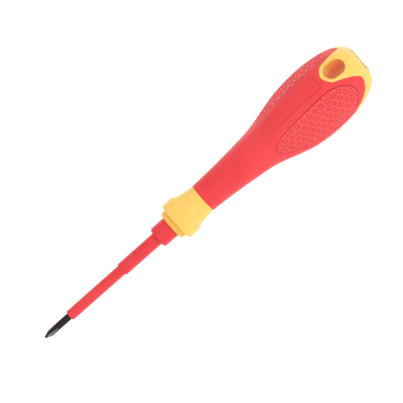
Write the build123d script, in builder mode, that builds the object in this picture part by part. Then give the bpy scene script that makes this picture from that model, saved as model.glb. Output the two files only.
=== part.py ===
from build123d import *

import math
import os

# Insulated screwdriver with a plug-in cross-point blade.
# Millimetres. The origin is the centre of the flat butt face of the handle. +X runs along the tool to
# the point of the blade, and +Z is the side of the handle on which the hanging hole opens.

# Overall lengths, as distances from the butt face
overall_length = 168.5
neck_end = 84.0
guard_front = 98.7
collar_front = 101.1
plug_front = 108.5
rear_sleeve_front = 127.5
insulation_front = 155.5

# Handle form: distance from the butt, radius to a face, radius to a ridge. The form is lofted through
# sections that stand closer together towards the rounded butt. It runs on past the neck, where it
# is cut off square.
handle_keys = [
    (0.0, 3.2, 3.4),
    (0.4, 5.3, 6.1),
    (1.0, 6.7, 7.9),
    (1.9, 7.9, 9.4),
    (4.0, 9.4, 11.3),
    (7.0, 10.9, 12.9),
    (12.5, 12.3, 14.4),
    (21.0, 13.1, 15.4),
    (29.0, 12.6, 15.4),
    (36.5, 11.5, 14.5),
    (43.0, 10.1, 12.7),
    (49.0, 8.8, 10.7),
    (55.0, 7.9, 9.2),
    (62.0, 7.4, 8.3),
    (72.0, 6.8, 7.2),
    (neck_end, 6.4, 6.4),
    (110.0, 6.4, 6.4),
]
form_sections = 20
sections_past_neck = 2
ridges = 3
outline_points = 24
belly_skin = 2.4
neck_skin = 1.2
belly_skin_end = 40.0
neck_skin_start = 60.0
core_first_section = 4

# Hanging hole and the hard rear end of the core
hole_x = 9.9
hole_length = 9.2
hole_width = 7.0
rim_width = 1.8
hard_end = 3.8
hard_centre_radius = 7.0
lobe_nose = 16.1

# Textured pads set into the three faces of the grip
pad_depth = 1.1
pad_gap = 0.25
pad_half_width = 8.5
side_pad_ends = (9.1, 20.5, 48.4)
lower_pad_ends = (17.6, 26.0, 48.4)

# Nose guard, release collar and its spring
guard_radius = 8.5
guard_straight = 5.4
rim_fillet = 1.0
spigot_radius = 5.0
spigot_front = 88.5
spring_chamber_radius = 5.75
collar_bore_radius = 6.6
collar_bore_end = 92.6
collar_radius = 6.5
collar_back = 94.6
collar_floor = 95.6
collar_sleeve_back = 89.4
collar_sleeve_radius = 3.85
collar_groove_radius = 5.9
collar_travel = 1.8
ring_back = 96.0
ring_thickness = 0.8
ring_outer_radius = 7.1
washer_thickness = 0.4
spring_wire = 0.7
spring_radius = 4.85
spring_turns = 4

# Drive socket and the clip that holds the blade
socket_back = 58.0
socket_front = 86.2
socket_radius = 4.0
socket_floor = 1.5
drive_hex = 4.0
drive_clearance = 0.05
clip_x = 86.8
clip_wire = 0.8
clip_leg = 3.0

# Blade
shank_radius = 1.5
insulation_radius = 2.25
rear_sleeve_radius = 2.8
sleeve_bore_radius = 1.85
plug_radius = 4.6
plug_clearance = 0.15
plug_step = 96.0
plug_tail_radius = 3.15
plug_back = 89.2
hex_end = 89.0
drive_end = 60.0
clip_groove_radius = 1.6
clip_groove_width = 1.0
insulation_back = 92.0
rear_sleeve_back = 100.0
point_radius = 0.4
point_length = 2.6
flute_length = 6.5
flute_cutter = 3.0
wing_thickness = 0.55


def save(piece, name):
    """Labels a finished piece and writes it as its own file"""
    piece.part.label = name
    export_step(piece.part, f"parts/{name}.step")


def skin_at(x):
    """Thickness of the soft grip over the core: thick on the belly, thin at the neck"""
    share = min(1, max(0, (x - belly_skin_end) / (neck_skin_start - belly_skin_end)))
    return belly_skin + (neck_skin - belly_skin) * share


def radii_at(x):
    """Face and ridge radius at a distance from the butt: a smooth curve, in the root of the
    distance, through the handle's keys"""
    spots = [math.sqrt(key[0]) for key in handle_keys]
    here = math.sqrt(x)
    last = len(spots) - 2
    i = min(last, max(k for k, spot in enumerate(spots) if spot <= here))
    width = spots[i + 1] - spots[i]
    share = (here - spots[i]) / width
    radii = []
    for column in (1, 2):
        values = [key[column] for key in handle_keys]
        slopes = []
        for k in (i, i + 1):
            before = max(0, k - 1)
            after = min(last + 1, k + 1)
            slopes.append((values[after] - values[before]) / (spots[after] - spots[before]))
        radii.append(
            values[i] * (1 + 2 * share) * (1 - share) ** 2
            + values[i + 1] * share**2 * (3 - 2 * share)
            + width * slopes[0] * share * (1 - share) ** 2
            - width * slopes[1] * share**2 * (1 - share)
        )
    return radii


def lobed_points(face_radius, ridge_radius):
    """Points round a three-sided section, the first ridge at +Z"""
    mean = (face_radius + ridge_radius) / 2
    lobe = (ridge_radius - face_radius) / 2
    points = []
    for i in range(outline_points):
        turn = math.tau * i / outline_points
        radius = mean + lobe * math.cos(ridges * turn)
        points.append((radius * math.sin(turn), radius * math.cos(turn)))
    return points


def handle_form(depth_at, first=0):
    """The handle's closed form, taken in by depth_at(x), from one of its sections to the neck"""
    with BuildPart() as form:
        for i in range(first, form_sections + sections_past_neck + 1):
            x = neck_end * (i / form_sections) ** 2
            face_radius, ridge_radius = radii_at(x)
            depth = depth_at(x)
            with BuildSketch(Plane.YZ.offset(x)):
                with BuildLine():
                    Spline(*lobed_points(face_radius - depth, ridge_radius - depth), periodic=True)
                make_face()
        loft()
        split(bisect_by=Plane.YZ.offset(neck_end), keep=Keep.BOTTOM)
    return form.part


def facing(turn):
    """The plane through the axis whose normal points out of the handle at a turn from +Z"""
    angle = math.radians(turn)
    return Plane((0, 0, 0), x_dir=(1, 0, 0), z_dir=(0, math.sin(angle), math.cos(angle)))


def turned(points):
    """A solid of revolution about the tool's axis from (distance, radius) corners"""
    with BuildPart() as body:
        with BuildSketch(Plane.XZ):
            with BuildLine():
                Polyline(*points, close=True)
            make_face()
        revolve(axis=Axis.X)
    return body.part


def front_rim(piece, radius):
    """The foremost round edge of a given radius"""
    rims = piece.edges().filter_by(GeomType.CIRCLE)
    return rims.filter_by(lambda edge: abs(edge.radius - radius) < 0.01).sort_by(Axis.X)[-1]


def inlay(turn, ends, gap):
    """The egg-shaped skin, pad_depth thick, of one face of the handle, grown by a gap all round"""
    rear, widest, front = ends
    with BuildPart() as prism:
        with BuildSketch(facing(turn).offset(2)):
            with BuildLine():
                EllipticalCenterArc(
                    (widest, 0), widest - rear + gap, pad_half_width + gap, start_angle=90, arc_size=180
                )
                EllipticalCenterArc(
                    (widest, 0), front - widest + gap, pad_half_width + gap, start_angle=-90, arc_size=180
                )
            make_face()
        extrude(amount=20)
        add(outer_form, mode=Mode.INTERSECT)
        add(pad_floor_form, mode=Mode.SUBTRACT)
    return prism.part


os.makedirs("parts", exist_ok=True)

outer_form = handle_form(lambda x: 0)
core_form = handle_form(skin_at, core_first_section)
pad_floor_form = handle_form(lambda x: pad_depth, core_first_section)
pad_layout = {
    "grip_pad_right": (60, side_pad_ends),
    "grip_pad_lower": (180, lower_pad_ends),
    "grip_pad_left": (300, side_pad_ends),
}

# The zone in which the hard core comes to the surface: the butt, a lobe on each ridge and a tongue
# round the lower mouth of the hanging hole
with BuildPart() as hard_zone:
    with BuildSketch(Plane.YZ.offset(-1)):
        Circle(20)
    extrude(amount=1 + hard_end)
    with BuildSketch(Plane.YZ):
        Circle(hard_centre_radius)
    extrude(amount=2 * hard_end)
    for ridge in range(ridges):
        with BuildSketch(facing(120 * ridge).offset(2)):
            with BuildLine():
                side = Spline((lobe_nose, 0), (14.0, 3.9), (10.6, 5.2), (7.1, 6.35), (4.7, 7.6),
                              (hard_end - 0.2, 8.5), tangents=[(0, 1), (-0.3, 1)])
                Polyline(side @ 1, (hard_end - 1, 8.5), (hard_end - 1, 0), (lobe_nose, 0))
            make_face()
            mirror(about=Plane.XZ)
        extrude(amount=20)
    with BuildSketch(facing(180).offset(2)):
        rim_half = hole_width / 2 + rim_width
        rim_centre = hole_x + (hole_length - hole_width) / 2
        with Locations((rim_centre, 0)):
            Circle(rim_half)
        with Locations((rim_centre / 2, 0)):
            Rectangle(rim_centre, 2 * rim_half)
    extrude(amount=20)

with BuildPart() as handle_core:
    add(outer_form)
    add(hard_zone.part, mode=Mode.INTERSECT)
    add(core_form)
    with BuildSketch(Plane.YZ.offset(neck_end - 1)):
        Circle(spigot_radius)
    extrude(amount=spigot_front - neck_end + 1)
    with BuildSketch(Plane.YZ.offset(socket_back)):
        Circle(socket_radius)
    extrude(amount=spigot_front - socket_back, mode=Mode.SUBTRACT)
    with BuildSketch(Plane.YZ.offset(clip_x - clip_wire / 2 - 0.1)):
        Circle(spigot_radius - 0.7)
    extrude(amount=clip_wire + 0.2, mode=Mode.SUBTRACT)
    with BuildSketch(Plane.XY.offset(-20)):
        with Locations((hole_x, 0)):
            SlotOverall(hole_length, hole_width)
    extrude(amount=40, mode=Mode.SUBTRACT)
save(handle_core, "handle_core")

pockets = [inlay(turn, ends, pad_gap) for turn, ends in pad_layout.values()]
with BuildPart() as soft_grip:
    add(outer_form)
    add(core_form, mode=Mode.SUBTRACT)
    add(hard_zone.part, mode=Mode.SUBTRACT)
    for pocket in pockets:
        add(pocket, mode=Mode.SUBTRACT)
    with BuildSketch(Plane.XY.offset(-20)):
        with Locations((hole_x, 0)):
            SlotOverall(hole_length, hole_width)
    extrude(amount=40, mode=Mode.SUBTRACT)
save(soft_grip, "soft_grip")

for name, (turn, ends) in pad_layout.items():
    with BuildPart() as grip_pad:
        add(inlay(turn, ends, 0))
    save(grip_pad, name)

# Flared guard at the front of the handle: straight rim, hollow cone, and a plain tail on the spigot
with BuildPart() as nose_guard:
    with BuildSketch(Plane.XZ):
        with BuildLine():
            rim_back = guard_front - guard_straight
            cone = Spline((neck_end, 6.4), (88.0, 6.7), (91.0, 7.3), (rim_back, guard_radius),
                          tangents=[(1, 0), (2, 1)])
            Polyline(cone @ 1, (guard_front, guard_radius), (guard_front, collar_bore_radius),
                     (collar_bore_end, collar_bore_radius), (collar_bore_end, spring_chamber_radius),
                     (spigot_front, spring_chamber_radius), (spigot_front, spigot_radius),
                     (neck_end, spigot_radius), cone @ 0)
        make_face()
    revolve(axis=Axis.X)
    fillet(front_rim(nose_guard, guard_radius), rim_fillet)
    with BuildSketch(Plane.YZ.offset(ring_back - 0.05)):
        Circle(ring_outer_radius + 0.05)
        Circle(collar_bore_radius - 1, mode=Mode.SUBTRACT)
    extrude(amount=ring_thickness + 0.1, mode=Mode.SUBTRACT)
save(nose_guard, "nose_guard")

# Collar: a disc that stands out of the guard, with a groove for its ring and a sleeve inside the
# spring that reaches back to the blade's clip
collar_groove_back = ring_back - 0.05
collar_groove_front = ring_back + ring_thickness + collar_travel + 0.05
with BuildPart() as release_collar:
    add(turned([
        (collar_front, plug_radius + plug_clearance),
        (collar_front, collar_radius),
        (collar_groove_front, collar_radius),
        (collar_groove_front, collar_groove_radius),
        (collar_groove_back, collar_groove_radius),
        (collar_groove_back, collar_radius),
        (collar_back, collar_radius),
        (collar_back, collar_sleeve_radius),
        (collar_sleeve_back, collar_sleeve_radius),
        (collar_sleeve_back, plug_tail_radius + plug_clearance),
        (collar_floor, plug_tail_radius + plug_clearance),
        (collar_floor, plug_radius + plug_clearance),
    ]))
    fillet(front_rim(release_collar, collar_radius), rim_fillet)
save(release_collar, "release_collar")

# Open spring ring, in a groove of the guard's bore, that keeps the collar in
with BuildPart() as collar_ring:
    with BuildSketch(Plane.YZ.offset(ring_back)):
        Circle(ring_outer_radius)
        Circle(collar_groove_radius + 0.1, mode=Mode.SUBTRACT)
        with Locations((0, -ring_outer_radius)):
            Rectangle(2.4, 4, mode=Mode.SUBTRACT)
    extrude(amount=ring_thickness)
save(collar_ring, "collar_ring")

with BuildPart() as spring_washer:
    with BuildSketch(Plane.YZ.offset(spigot_front)):
        Circle(spring_chamber_radius - 0.05)
        Circle(socket_radius + 0.1, mode=Mode.SUBTRACT)
    extrude(amount=washer_thickness)
save(spring_washer, "spring_washer")

# Compression spring between the washer and the collar
spring_start = spigot_front + washer_thickness + spring_wire / 2
spring_length = collar_back - spring_wire / 2 - spring_start
with BuildPart() as collar_spring:
    with BuildLine():
        coil = Helix(
            pitch=spring_length / spring_turns,
            height=spring_length,
            radius=spring_radius,
            center=(spring_start, 0, 0),
            direction=(1, 0, 0),
        )
    with BuildSketch(Plane(coil @ 0, z_dir=coil % 0)):
        Circle(spring_wire / 2)
    sweep(is_frenet=True)
save(collar_spring, "collar_spring")

# Steel socket moulded into the core
with BuildPart() as drive_socket:
    with BuildSketch(Plane.YZ.offset(socket_back)):
        Circle(socket_radius)
    extrude(amount=socket_front - socket_back)
    with BuildSketch(Plane.YZ.offset(socket_back + socket_floor)):
        RegularPolygon(drive_hex / 2 + drive_clearance, 6, major_radius=False)
    extrude(amount=socket_front - socket_back - socket_floor, mode=Mode.SUBTRACT)
save(drive_socket, "drive_socket")

# U-shaped wire clip in its slot across the front of the core, astride the groove of the blade
clip_radius = clip_groove_radius + 0.05 + clip_wire / 2
with BuildPart() as retaining_clip:
    with BuildLine(Plane.YZ.offset(clip_x)):
        Line((-clip_radius, clip_leg), (-clip_radius, 0))
        CenterArc((0, 0), clip_radius, 180, 180)
        Line((clip_radius, 0), (clip_radius, clip_leg))
    with BuildSketch(Plane((clip_x, -clip_radius, clip_leg), z_dir=(0, 0, -1))):
        Circle(clip_wire / 2)
    sweep()
save(retaining_clip, "retaining_clip")

# Blade: hexagonal drive end, round shank and a cross point with four flutes
with BuildPart() as blade_shank:
    with BuildSketch(Plane.YZ.offset(drive_end)):
        RegularPolygon(drive_hex / 2, 6, major_radius=False)
    extrude(amount=hex_end - drive_end)
    add(turned([
        (hex_end, 0),
        (hex_end, shank_radius),
        (overall_length - point_length, shank_radius),
        (overall_length, point_radius),
        (overall_length, 0),
    ]))
    with BuildSketch(Plane.YZ.offset(clip_x - clip_groove_width / 2)):
        Circle(drive_hex)
        Circle(clip_groove_radius, mode=Mode.SUBTRACT)
    extrude(amount=clip_groove_width, mode=Mode.SUBTRACT)
    flute_start = wing_thickness / 2
    flute_slope = (shank_radius / math.sqrt(2) - flute_start) / flute_length
    flute_centre = flute_start + flute_cutter / 2
    for side_y in (-1, 1):
        for side_z in (-1, 1):
            with BuildSketch(Plane.YZ.offset(overall_length)):
                with Locations((side_y * flute_centre, side_z * flute_centre)):
                    Rectangle(flute_cutter, flute_cutter)
            way = (-1, side_y * flute_slope, side_z * flute_slope)
            extrude(amount=1.2 * flute_length, dir=way, mode=Mode.SUBTRACT)
save(blade_shank, "blade_shank")

# Insulation: a thin layer along the whole shank, a thicker sleeve over its narrower rear half, and the
# plug that fills the collar and carries the blade in the handle
with BuildPart() as shank_insulation:
    add(turned([
        (insulation_back, shank_radius),
        (insulation_back, sleeve_bore_radius),
        (rear_sleeve_front, sleeve_bore_radius),
        (rear_sleeve_front, insulation_radius),
        (insulation_front, insulation_radius),
        (insulation_front, shank_radius),
    ]))
    fillet(front_rim(shank_insulation, insulation_radius), 0.6)
save(shank_insulation, "shank_insulation")

with BuildPart() as rear_sleeve:
    add(turned([
        (rear_sleeve_back, sleeve_bore_radius),
        (rear_sleeve_back, rear_sleeve_radius),
        (rear_sleeve_front, rear_sleeve_radius),
        (rear_sleeve_front, sleeve_bore_radius),
    ]))
    fillet(front_rim(rear_sleeve, rear_sleeve_radius), 0.45)
save(rear_sleeve, "rear_sleeve")

with BuildPart() as blade_plug:
    add(turned([
        (plug_back, shank_radius),
        (plug_back, plug_tail_radius),
        (plug_step, plug_tail_radius),
        (plug_step, plug_radius),
        (plug_front, plug_radius),
        (plug_front, rear_sleeve_radius),
        (rear_sleeve_back, rear_sleeve_radius),
        (rear_sleeve_back, sleeve_bore_radius),
        (insulation_back, sleeve_bore_radius),
        (insulation_back, shank_radius),
    ]))
    fillet(front_rim(blade_plug, plug_radius), 1.2)
save(blade_plug, "blade_plug")
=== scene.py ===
import math

import bmesh
import bpy
import numpy as np
from mathutils import Matrix, Vector
from mathutils.geometry import delaunay_2d_cdt, intersect_line_line_2d
from mathutils.kdtree import KDTree


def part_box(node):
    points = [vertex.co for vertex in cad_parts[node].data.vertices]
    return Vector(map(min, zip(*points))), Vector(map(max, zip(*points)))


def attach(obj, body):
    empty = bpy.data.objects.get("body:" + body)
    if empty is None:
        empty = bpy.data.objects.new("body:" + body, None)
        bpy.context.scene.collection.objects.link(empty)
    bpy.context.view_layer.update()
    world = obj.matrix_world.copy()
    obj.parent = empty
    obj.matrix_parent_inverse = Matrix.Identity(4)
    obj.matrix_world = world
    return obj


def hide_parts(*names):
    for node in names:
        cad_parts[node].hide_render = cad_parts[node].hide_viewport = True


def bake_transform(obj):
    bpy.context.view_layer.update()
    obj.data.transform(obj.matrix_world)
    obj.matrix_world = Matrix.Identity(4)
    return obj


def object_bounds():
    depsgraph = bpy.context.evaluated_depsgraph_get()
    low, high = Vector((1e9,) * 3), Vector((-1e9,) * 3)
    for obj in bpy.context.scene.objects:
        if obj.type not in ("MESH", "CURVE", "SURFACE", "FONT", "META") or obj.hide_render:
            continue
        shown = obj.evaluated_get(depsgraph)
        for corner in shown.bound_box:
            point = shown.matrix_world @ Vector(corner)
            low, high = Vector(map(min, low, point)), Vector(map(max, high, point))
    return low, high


# Looks of the insulated screwdriver. Sizes here are in millimetres, in the frame of the CAD part, and
# become metres where a mesh is made. "Turn" is the angle about the tool's axis from +Z towards +Y.

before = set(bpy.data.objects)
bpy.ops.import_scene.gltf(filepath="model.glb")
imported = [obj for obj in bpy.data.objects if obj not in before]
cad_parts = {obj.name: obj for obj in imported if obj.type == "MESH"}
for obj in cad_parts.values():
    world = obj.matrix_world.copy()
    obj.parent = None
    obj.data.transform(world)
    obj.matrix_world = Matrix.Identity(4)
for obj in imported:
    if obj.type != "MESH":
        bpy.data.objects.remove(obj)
cad_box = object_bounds()

MM = 0.001


def span(node):
    """Lowest and highest corner of a CAD node, in millimetres"""
    return [[value / MM for value in corner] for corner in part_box(node)]


# ---------------------------------------------------------------- sizes read from the frame
tip = span("blade_shank")[1][0]
shank_radius = 1.5
neck_end = span("soft_grip")[1][0]
spigot_front = span("handle_core")[1][0]
guard_front, guard_radius = span("nose_guard")[1][0], span("nose_guard")[1][1]
collar_back, collar_front = span("release_collar")[0][0], span("release_collar")[1][0]
collar_radius = span("release_collar")[1][1]
plug_back, plug_front = span("blade_plug")[0][0], span("blade_plug")[1][0]
plug_radius = span("blade_plug")[1][1]
sleeve_back, sleeve_front = span("rear_sleeve")[0][0], span("rear_sleeve")[1][0]
sleeve_radius = span("rear_sleeve")[1][1]
insulation_back, insulation_front = span("shank_insulation")[0][0], span("shank_insulation")[1][0]
insulation_radius = span("shank_insulation")[1][1]
socket_back, socket_radius = span("drive_socket")[0][0], span("drive_socket")[1][1]

# ---------------------------------------------------------------- sizes of the handle's form
# Distance from the butt, radius to a face, radius to a ridge
HANDLE_KEYS = np.array([
    (0.0, 3.2, 3.4),
    (0.4, 5.3, 6.1),
    (1.0, 6.7, 7.9),
    (1.9, 7.9, 9.4),
    (4.0, 9.4, 11.3),
    (7.0, 10.9, 12.9),
    (12.5, 12.3, 14.4),
    (21.0, 13.1, 15.4),
    (29.0, 12.6, 15.4),
    (36.5, 11.5, 14.5),
    (43.0, 10.1, 12.7),
    (49.0, 8.8, 10.7),
    (55.0, 7.9, 9.2),
    (62.0, 7.4, 8.3),
    (72.0, 6.8, 7.2),
    (neck_end, 6.4, 6.4),
    (110.0, 6.4, 6.4),
])
BELLY_SKIN, NECK_SKIN = 2.4, 1.2
BELLY_SKIN_END, NECK_SKIN_START = 40.0, 60.0
HARD_END = 3.8
LOBE_HALF_WIDTH = 7.85
GRIP_TONGUE_TIP = 3.85
LOBE_OUTLINE = [
    (3.7, 8.6), (3.87, 7.9), (4.25, 7.4), (5.2, 6.95), (7.1, 6.3), (10.6, 5.2), (14.0, 3.9), (16.1, 0.0),
]
HOLE_X, HOLE_HALF_LENGTH, HOLE_HALF_WIDTH = 9.9, 4.6, 3.5
TONGUE_HALF_WIDTH = 5.3
HOLE_ROUNDING = 0.7
PAD_DEPTH, PAD_GAP, PAD_HALF_WIDTH = 1.1, 0.25, 8.5
PAD_CLEARANCE = 0.08
PAD_ROUNDING, POCKET_ROUNDING, SEAM_ROUNDING = 0.3, 0.35, 0.14
PADS = {
    "grip_pad_right": (60, (9.1, 20.5, 48.4)),
    "grip_pad_lower": (180, (17.6, 26.0, 48.4)),
    "grip_pad_left": (300, (9.1, 20.5, 48.4)),
}
CELL_PITCH = 3.15
CELL_STEPS = 18
CELL_DEPTH, NET_HALF_WIDTH, NET_SLOPE, DOT_RADIUS, DOT_SLOPE = 0.36, 0.1, 0.34, 0.22, 0.36
PAD_BORDER = 0.35
LABEL_X, LABEL_HALF_LENGTH, LABEL_HALF_WIDTH, LABEL_CORNER = 30.5, 12.6, 3.35, 1.2
LABEL_BEAD, LABEL_BEAD_WIDTH, LABEL_SCOOP = 0.26, 0.22, 0.16

# Nose, collar, plug and spring: distances from the butt and radii
NECK_RADIUS, SPIGOT_RADIUS, SPRING_CHAMBER_RADIUS = 6.4, 5.0, 5.75
GUARD_STRAIGHT, GUARD_BORE, GUARD_BORE_END = 5.4, 6.6, 92.6
COLLAR_DISC_BACK, COLLAR_FLOOR, COLLAR_SLEEVE_RADIUS, COLLAR_SLEEVE_BORE = 94.6, 95.6, 3.85, 3.3
COLLAR_GROOVE, COLLAR_GROOVE_RADIUS = (95.95, 98.65), 5.9
PLUG_CLEARANCE, PLUG_STEP, PLUG_TAIL_RADIUS = 0.15, 96.0, 3.15
SLEEVE_BORE = 1.85
SPRING_WIRE, SPRING_RADIUS, SPRING_TURNS = 0.7, 4.85, 4

BUTT_MARKS, BUTT_MARK_RADIUS, BUTT_MARK_HALF_WIDTH = 26, 5.2, 0.3
SEAM_TURN = 120
UNROLL_RADIUS = 12.6
WING_THICKNESS, FLUTE_LENGTH = 0.55, 6.5
OUTLINE_SPACING = 0.3

# ---------------------------------------------------------------- the form, unrolled
key_spots = np.sqrt(HANDLE_KEYS[:, 0])


def key_slopes(values):
    """Slope of a column of keys at each key"""
    last = len(values) - 1
    return np.array([
        (values[min(last, k + 1)] - values[max(0, k - 1)])
        / (key_spots[min(last, k + 1)] - key_spots[max(0, k - 1)])
        for k in range(last + 1)
    ])


key_columns = [(HANDLE_KEYS[:, c], key_slopes(HANDLE_KEYS[:, c])) for c in (1, 2)]


def radii_at(x):
    """Face and ridge radius at distances from the butt"""
    here = np.sqrt(np.maximum(x, 0))
    i = np.clip(np.searchsorted(key_spots, here, side="right") - 1, 0, len(key_spots) - 2)
    width = key_spots[i + 1] - key_spots[i]
    share = (here - key_spots[i]) / width
    return [
        values[i] * (1 + 2 * share) * (1 - share) ** 2
        + values[i + 1] * share**2 * (3 - 2 * share)
        + width * slopes[i] * share * (1 - share) ** 2
        - width * slopes[i + 1] * share**2 * (1 - share)
        for values, slopes in key_columns
    ]


def radius_at(x, turn):
    """Radius of the form at a distance and a turn"""
    face, ridge = radii_at(x)
    return (face + ridge) / 2 + (ridge - face) / 2 * np.cos(3 * turn)


# Arc length along the form against distance from the butt
x_table = 90 * np.linspace(0, 1, 3000) ** 2
r_table = sum(radii_at(x_table)) / 2
arc_table = np.concatenate([[0], np.cumsum(np.hypot(np.diff(x_table), np.diff(r_table)))])


def arc_at(x):
    """Arc length along the form up to a distance from the butt"""
    return np.interp(x, x_table, arc_table)


def x_at(arc):
    """Distance from the butt at an arc length"""
    return np.interp(arc, arc_table, x_table)


def on_form(flat):
    """Point of the form for each unrolled point (arc length, turn times the unroll radius)"""
    x = x_at(flat[:, 0])
    turn = flat[:, 1] / UNROLL_RADIUS
    radius = radius_at(x, turn)
    return np.stack([x, radius * np.sin(turn), radius * np.cos(turn)], axis=1)


def outward(flat):
    """Unit normal of the form"""
    step = 0.02
    along = on_form(flat + [step, 0]) - on_form(np.maximum(flat - [step, 0], [0, -1e9]))
    around = on_form(flat + [0, step]) - on_form(flat - [0, step])
    normal = np.cross(along, around)
    return normal / np.linalg.norm(normal, axis=1)[:, None]


def ring_at(x, radius, turns):
    """Points round the axis at one distance from the butt"""
    return np.stack([np.full(len(turns), x), radius * np.sin(turns), radius * np.cos(turns)], axis=1)


def radial(flat):
    """Unit direction straight out from the axis"""
    turn = flat[:, 1] / UNROLL_RADIUS
    return np.stack([np.zeros(len(flat)), np.sin(turn), np.cos(turn)], axis=1)


def seen_along(turn_degrees, outline):
    """Unrolled points of an outline (x, sideways) looked at along a direction square to the axis"""
    centre = math.radians(turn_degrees)
    x, side = np.array(outline, dtype=float).T
    turn = np.zeros(len(x))
    for _ in range(40):
        turn = np.arcsin(np.clip(side / radius_at(x, centre + turn), -1, 1))
    return np.stack([arc_at(x), (centre + turn) * UNROLL_RADIUS], axis=1)


def sideways(turn_degrees, flat):
    """(x, sideways) of unrolled points, looked at along that direction, and whether they face it"""
    x = x_at(flat[:, 0])
    turn = flat[:, 1] / UNROLL_RADIUS
    off = turn - math.radians(turn_degrees)
    return x, radius_at(x, turn) * np.sin(off), np.cos(off) > 0


def skin_at(x):
    """Thickness of the soft grip over the core"""
    share = np.clip((x - BELLY_SKIN_END) / (NECK_SKIN_START - BELLY_SKIN_END), 0, 1)
    return BELLY_SKIN + (NECK_SKIN - BELLY_SKIN) * share


def soft_step(value):
    """0 below 0, 1 above 1, smooth between"""
    value = np.clip(value, 0, 1)
    return value * value * (3 - 2 * value)


def quarter_round(distance, rounding):
    """How far a rounded edge has dropped at a distance from its wall"""
    left = np.clip(rounding - distance, 0, rounding)
    return rounding - np.sqrt(rounding**2 - left**2)


# ---------------------------------------------------------------- outlines
def resampled(line, spacing=OUTLINE_SPACING, closed=False):
    """The same line with evenly spaced points"""
    line = np.array(line, dtype=float)
    if closed:
        line = np.vstack([line, line[:1]])
    lengths = np.concatenate([[0], np.cumsum(np.linalg.norm(np.diff(line, axis=0), axis=1))])
    count = max(2, round(lengths[-1] / spacing))
    at = np.linspace(0, lengths[-1], count + 1)
    line = np.stack([np.interp(at, lengths, line[:, c]) for c in (0, 1)], axis=1)
    return line[:-1] if closed else line


def smooth_through(points, steps=24):
    """A smooth line through points (centripetal Catmull-Rom)"""
    points = [Vector(p) for p in points]
    points = [2 * points[0] - points[1]] + points + [2 * points[-1] - points[-2]]
    line = []
    for p0, p1, p2, p3 in zip(points, points[1:], points[2:], points[3:]):
        t1 = (p1 - p0).length ** 0.5
        t2 = t1 + (p2 - p1).length ** 0.5
        t3 = t2 + (p3 - p2).length ** 0.5
        for step in range(steps):
            t = t1 + (t2 - t1) * step / steps
            a1 = p0.lerp(p1, t / t1)
            a2 = p1.lerp(p2, (t - t1) / (t2 - t1))
            a3 = p2.lerp(p3, (t - t2) / (t3 - t2))
            b1 = a1.lerp(a2, t / t2)
            b2 = a2.lerp(a3, (t - t1) / (t3 - t1))
            line.append(b1.lerp(b2, (t - t1) / (t2 - t1)))
    line.append(points[-2])
    return np.array([tuple(p) for p in line])


def rounded_box(centre, half_length, half_width, corner, grow=0.0):
    """Outline (x, sideways) of a box with round corners, grown by an amount"""
    reach, side, radius = half_length + grow, half_width + grow, corner + grow
    line = []
    for quarter, (sx, sy) in enumerate([(1, 1), (-1, 1), (-1, -1), (1, -1)]):
        for step in range(13):
            angle = math.pi / 2 * (quarter + step / 12)
            line.append((
                centre + sx * (reach - radius) + radius * math.cos(angle),
                sy * (side - radius) + radius * math.sin(angle),
            ))
    return resampled(line, closed=True)


def egg(ends, gap):
    """Egg-shaped outline (x, sideways) of a pad, grown by a gap"""
    rear, widest, front = ends
    side = PAD_HALF_WIDTH + gap
    angles = np.linspace(0, math.tau, 400, endpoint=False)
    reach = np.where(np.cos(angles) > 0, front - widest + gap, widest - rear + gap)
    return resampled(np.stack([widest + reach * np.cos(angles), side * np.sin(angles)], axis=1), closed=True)


def cut_at_crossing(first, second):
    """Both lines where they cross: the first up to there, the second from there on"""
    for i in range(len(first) - 1):
        for j in range(len(second) - 1):
            spot = intersect_line_line_2d(first[i], first[i + 1], second[j], second[j + 1])
            if spot is not None:
                spot = np.array([tuple(spot)])
                return np.vstack([first[: i + 1], spot]), np.vstack([spot, second[j + 1:]])
    raise ValueError("the outlines don't cross")


def rear_edge():
    """Unrolled border between the hard rear end and the soft grip, once round from the seam"""
    half = smooth_through(LOBE_OUTLINE + [(x, -v) for x, v in reversed(LOBE_OUTLINE[:-1])])[::-1]
    half = half[np.abs(half[:, 1]) <= LOBE_HALF_WIDTH]
    lobe = {turn: seen_along(turn, half) for turn in (120, 240, 360, 480)}
    middle = len(half) // 2
    straight = HOLE_X + HOLE_HALF_LENGTH - HOLE_HALF_WIDTH
    bend = [
        (straight + TONGUE_HALF_WIDTH * math.cos(a), TONGUE_HALF_WIDTH * math.sin(a))
        for a in np.linspace(-math.pi / 2, math.pi / 2, 40)
    ]
    side = [(x, -TONGUE_HALF_WIDTH) for x in np.linspace(HARD_END, straight, 30)[:-1]]
    tongue = seen_along(180, side + bend + [(x, -v) for x, v in reversed(side)])
    before, tongue = cut_at_crossing(lobe[120][middle:], tongue)
    after, tongue = cut_at_crossing(lobe[240][::-1], tongue[::-1])
    tips = [np.array([[arc_at(GRIP_TONGUE_TIP), math.radians(turn) * UNROLL_RADIUS]]) for turn in (300, 420)]
    line = np.vstack([
        before, tongue[::-1][1:-1], after[::-1], tips[0], lobe[360], tips[1], lobe[480][: middle + 1],
    ])
    line[0, 1] = math.radians(SEAM_TURN) * UNROLL_RADIUS
    line[-1] = line[0] + [0, math.tau * UNROLL_RADIUS]
    return resampled(line)


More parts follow.
